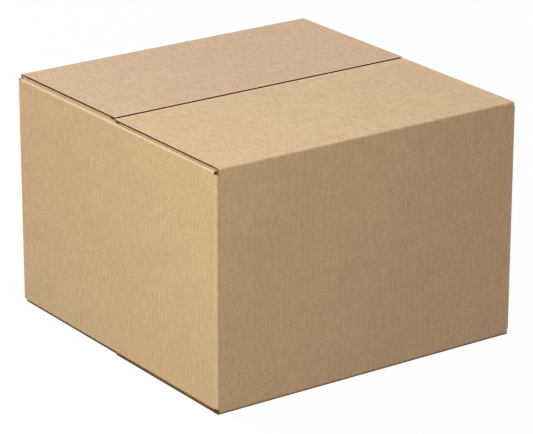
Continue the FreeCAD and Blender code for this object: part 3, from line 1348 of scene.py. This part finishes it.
@dataclass(frozen=True)
class FluteShadow:
    """Soft stripes where the liner sinks between flute crests."""

    pitch: float
    uneven_scale: float = 110.0
    faint_at: float = 0.3
    full_at: float = 0.65
    faintest: float = 0.15

    def group(self) -> bpy.types.NodeTree:
        """Group whose Stripe swings between -0.5 and 0.5, uneven along a flute.

        Returns:
            The group.
        """
        sheet, place, result = new_group("flute_shadow", ("Stripe",))
        along = sheet.add("ShaderNodeSeparateXYZ", {0: place}).outputs[0]
        turns = sheet.math("MULTIPLY", along, FULL_TURN / self.pitch)
        stripe = sheet.math("MULTIPLY", sheet.math("COSINE", turns), 0.5)
        uneven = sheet.noise(sheet.stretch(place, (1.0, 0.12, 1.0)), self.uneven_scale)
        strength = sheet.range(uneven, self.faint_at, self.full_at, self.faintest)
        sheet.feed(result, {"Stripe": sheet.math("MULTIPLY", stripe, strength)})
        return sheet.tree


@dataclass(frozen=True)
class KraftFinish:
    """One paper of the board, as a material."""

    name: str
    base: Triple
    tone_swing: float = 0.25
    cloud_swing: float = 0.15
    stripe_depth: float = 0.06
    light_flecks: float = 0.17
    dark_flecks: float = 0.20
    # Pale tint for wear with a painted highlight; dark brown for painted shade.
    wear_and_highlight_share: float = 0.12
    wear_and_highlight_tint: Triple = (0.78, 0.68, 0.50)
    painted_shade_strength: float = 0.95
    painted_shade_colour: Triple = (0.065, 0.022, 0.006)
    roughness: float = 0.86
    specular: float = 0.35
    bump: float = 0.08
    bump_height: float = 0.1 * MM

    def material(self, paper: bpy.types.NodeTree, flutes: bpy.types.NodeTree
                 ) -> bpy.types.Material:
        """Material with fibres, clouds, flecks, flute shadow stripes, and worn folds with a
        painted highlight.

        The base colour is multiplied by 1 plus the sum of the swings, then drawn
        towards a pale tint for wear with a painted highlight, and towards a dark brown
        for painted shade deep in a flute, on cut edges and under the lower folds, where
        the gloss fades too.

        Args:
            paper: The kraft paper group.
            flutes: The flute shadow group.

        Returns:
            The material.
        """
        material = bpy.data.materials.new(self.name)
        sheet = NodeSheet.cleared(material)
        place = sheet.add("ShaderNodeUVMap", uv_map=SHEET_UV).outputs[0]
        grain, stripes = (sheet.add("ShaderNodeGroup", node_tree=group) for group in
                          (paper, flutes))
        for node in (grain, stripes):
            sheet.feed(node, {"Vector": place})
        wear_and_highlight, painted_shade = (sheet.add("ShaderNodeAttribute", attribute_name=name).outputs["Fac"]
                        for name in (WEAR_AND_HIGHLIGHT_ATTRIBUTE, PAINTED_SHADE_ATTRIBUTE))
        swings = [
            (grain.outputs["Tone"], self.tone_swing),
            (grain.outputs["Cloud"], self.cloud_swing),
            (stripes.outputs["Stripe"], self.stripe_depth),
            (grain.outputs["Light"], self.light_flecks),
            (grain.outputs["Dark"], -self.dark_flecks),
        ]
        level: object = 0.5
        for value, weight in swings:
            level = sheet.math("ADD", level, sheet.math("MULTIPLY", value, 0.5 * weight))
        level = sheet.math("MINIMUM", sheet.math("MAXIMUM", level, 0.0), 1.0)
        double = tuple(2.0 * channel for channel in self.base)
        # Painted shade draws the colour towards a dark brown and takes the gloss away.
        shade = sheet.math("MULTIPLY", painted_shade, self.painted_shade_strength)
        # Wear with a painted highlight draws the colour towards a pale tint.
        wear_and_highlight_mix = sheet.math("MULTIPLY", wear_and_highlight, self.wear_and_highlight_share)
        colour = sheet.mix(level, (0.0, 0.0, 0.0), double)
        colour = sheet.mix(wear_and_highlight_mix, colour, self.wear_and_highlight_tint)
        bump = sheet.add("ShaderNodeBump", {"Strength": self.bump,
                                            "Distance": self.bump_height,
                                            "Height": grain.outputs["Height"]})
        gloss = sheet.math("MULTIPLY", sheet.math("SUBTRACT", 1.0, shade), self.specular)
        surface = sheet.add("ShaderNodeBsdfPrincipled", {
            "Base Color": sheet.mix(shade, colour, self.painted_shade_colour),
            "Roughness": self.roughness,
            "Specular IOR Level": gloss,
            "Normal": bump.outputs[0],
        })
        sheet.add("ShaderNodeOutputMaterial", {0: surface.outputs[0]})
        return material


@dataclass(frozen=True)
class Lamp:
    """Round area lamp that faces the middle of the carton."""

    name: str
    place: Triple
    size: float
    power: float
    colour: Triple
    aim: Triple = (0.0, 0.0, 0.15)

    def add(self) -> None:
        """Put the lamp in the scene."""
        light = bpy.data.lights.new(self.name, "AREA")
        light.shape = "DISK"
        light.size = self.size
        light.energy = self.power
        light.color = self.colour
        lamp = link(bpy.data.objects.new(self.name, light))
        way = Vector(self.aim) - Vector(self.place)
        lamp.location = self.place
        lamp.rotation_mode = "QUATERNION"
        lamp.rotation_quaternion = way.to_track_quat("-Z", "Y")


@dataclass(frozen=True)
class Studio:
    """Pale floor, soft light and the photograph's camera."""

    frame_width: float = 533.0
    focal_pixels: float = 2987.8
    shift_pixels: tuple[float, float] = (-0.3, 0.5)
    sensor: float = 36.0
    azimuth: float = -35.183
    elevation: float = 20.154
    roll: float = 0.0995
    camera_place: Triple = (-1.7847, -2.5383, 1.2582)
    floor_half: float = 14.0
    floor_seen: Triple = (0.85, 0.85, 0.85)
    floor_lit: Triple = (0.041, 0.036, 0.033)
    camera_white: float = 0.96
    sky: Triple = (0.554, 0.529, 0.581)
    lamps: tuple[Lamp, ...] = (
        Lamp("key", (-1.21, 2.3, 2.24), 1.2, 59.0, (0.890, 1.000, 0.999)),
        Lamp("fill", (-1.38, -0.921, 0.928), 0.6, 20.8, (1.000, 0.923, 0.709)),
    )

    def add_camera(self) -> None:
        """Camera solved from the edges of the carton in the photograph."""
        data = bpy.data.cameras.new("camera")
        data.sensor_fit = "HORIZONTAL"
        data.sensor_width = self.sensor
        data.lens = self.focal_pixels / self.frame_width * self.sensor
        data.shift_x, data.shift_y = (shift / self.frame_width for shift in self.shift_pixels)
        data.clip_start, data.clip_end = 0.05, 100.0
        a, e = math.radians(self.azimuth), math.radians(self.elevation)
        ahead = Vector((-math.sin(a) * math.cos(e), math.cos(a) * math.cos(e), -math.sin(e)))
        roll = Quaternion((0.0, 0.0, 1.0), math.radians(self.roll))
        camera = link(bpy.data.objects.new("camera", data))
        camera.location = self.camera_place
        camera.rotation_mode = "QUATERNION"
        camera.rotation_quaternion = ahead.to_track_quat("-Z", "Y") @ roll
        bpy.context.scene.camera = camera

    @staticmethod
    def background_rays(sheet: NodeSheet) -> bpy.types.NodeSocket:
        """Pick the rays that show the background: camera, glossy and transmission.

        Args:
            sheet: Where the nodes go.

        Returns:
            1 for those rays and 0 for the others.
        """
        rays = sheet.add("ShaderNodeLightPath").outputs
        seen = sheet.math("MAXIMUM", rays["Is Camera Ray"], rays["Is Glossy Ray"])
        return sheet.math("MAXIMUM", seen, rays["Is Transmission Ray"])

    def add_floor(self) -> None:
        """Large pale floor that reads as white and keeps a faint shadow."""
        mesh = bpy.data.meshes.new("floor")
        corners = [((2 * i - 1) * self.floor_half, (2 * j - 1) * self.floor_half, 0.0)
                   for i, j in CELL_CORNERS]
        mesh.from_pydata(corners, [], [(0, 1, 2, 3)])
        material = bpy.data.materials.new("pale_floor")
        sheet = NodeSheet.cleared(material)
        seen = self.background_rays(sheet)
        colour = sheet.mix(seen, self.floor_lit, self.floor_seen)
        mixed = sheet.add("ShaderNodeMixShader", {
            0: sheet.math("MULTIPLY", seen, self.camera_white),
            1: sheet.add("ShaderNodeBsdfDiffuse", {"Color": colour}).outputs[0],
            2: sheet.add("ShaderNodeEmission").outputs[0],
        })
        sheet.add("ShaderNodeOutputMaterial", {0: mixed.outputs[0]})
        mesh.materials.append(material)
        floor = link(bpy.data.objects.new("floor", mesh))

    def add_light(self) -> None:
        """Plain sky all round and the lamps."""
        world = bpy.data.worlds.new("studio")
        sheet = NodeSheet.cleared(world)
        colour = sheet.mix(self.background_rays(sheet), self.sky, (1.0, 1.0, 1.0))
        shell = sheet.add("ShaderNodeBackground", {"Color": colour})
        sheet.add("ShaderNodeOutputWorld", {0: shell.outputs[0]})
        bpy.context.scene.world = world
        for lamp in self.lamps:
            lamp.add()

    def build(self) -> None:
        """Camera, floor and light, with plain colour management."""
        self.add_camera()
        self.add_floor()
        self.add_light()
        bpy.context.scene.view_settings.view_transform = "Standard"


def main() -> None:
    """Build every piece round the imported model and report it."""
    logging.basicConfig(level=logging.INFO, format="%(name)s: %(message)s")
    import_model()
    board = Board()
    sheet = FoldedSheet(CartonSizes.from_frame(), board)
    groups = KraftPaper().group(), FluteShadow(board.pitch).group()
    plain = {"stripe_depth": 0.0, "wear_and_highlight_share": 0.0}
    liner, *others, front_liner, back_liner = (finish.material(*groups) for finish in [
        KraftFinish("kraft_liner", (0.60, 0.42, 0.25)),
        # The cut edge's darker brown is painted shade of its open flutes.
        KraftFinish("cut_board_edge", (0.42, 0.29, 0.165), **plain),
        KraftFinish("fluting_medium", (0.66, 0.50, 0.32), **plain),
        KraftFinish("kraft_lining", (0.54, 0.38, 0.22), wear_and_highlight_share=0.0),
        KraftFinish("kraft_liner_front", (0.60, 0.42, 0.25), tone_swing=0.32,
                    stripe_depth=0.0),
        # The back flap's bluer, greyer liner is a painted reflection of the cool sky.
        KraftFinish("kraft_liner_back", (0.566, 0.395, 0.253), tone_swing=0.30,
                    stripe_depth=0.02),
    ])
    front = TopFlap(sheet, Wall.FRONT, "front_flap", "front_top_flap",
                    start_inset=3.2 * MM, end_inset=1.8 * MM, lean=-0.4 * MM)
    back = TopFlap(sheet, Wall.BACK, "back_flap", "back_top_flap",
                   start_inset=1.9 * MM, end_inset=4.2 * MM, lean=1.8 * MM)
    for builder, outer in ((CartonBody(sheet), liner), (front, front_liner),
                           (back, back_liner)):
        for piece in builder.make([outer, *others]):
            LOG.info("%s: %d faces", piece.name, len(piece.data.polygons))
    Studio().build()


if __name__ == "__main__":
    main()
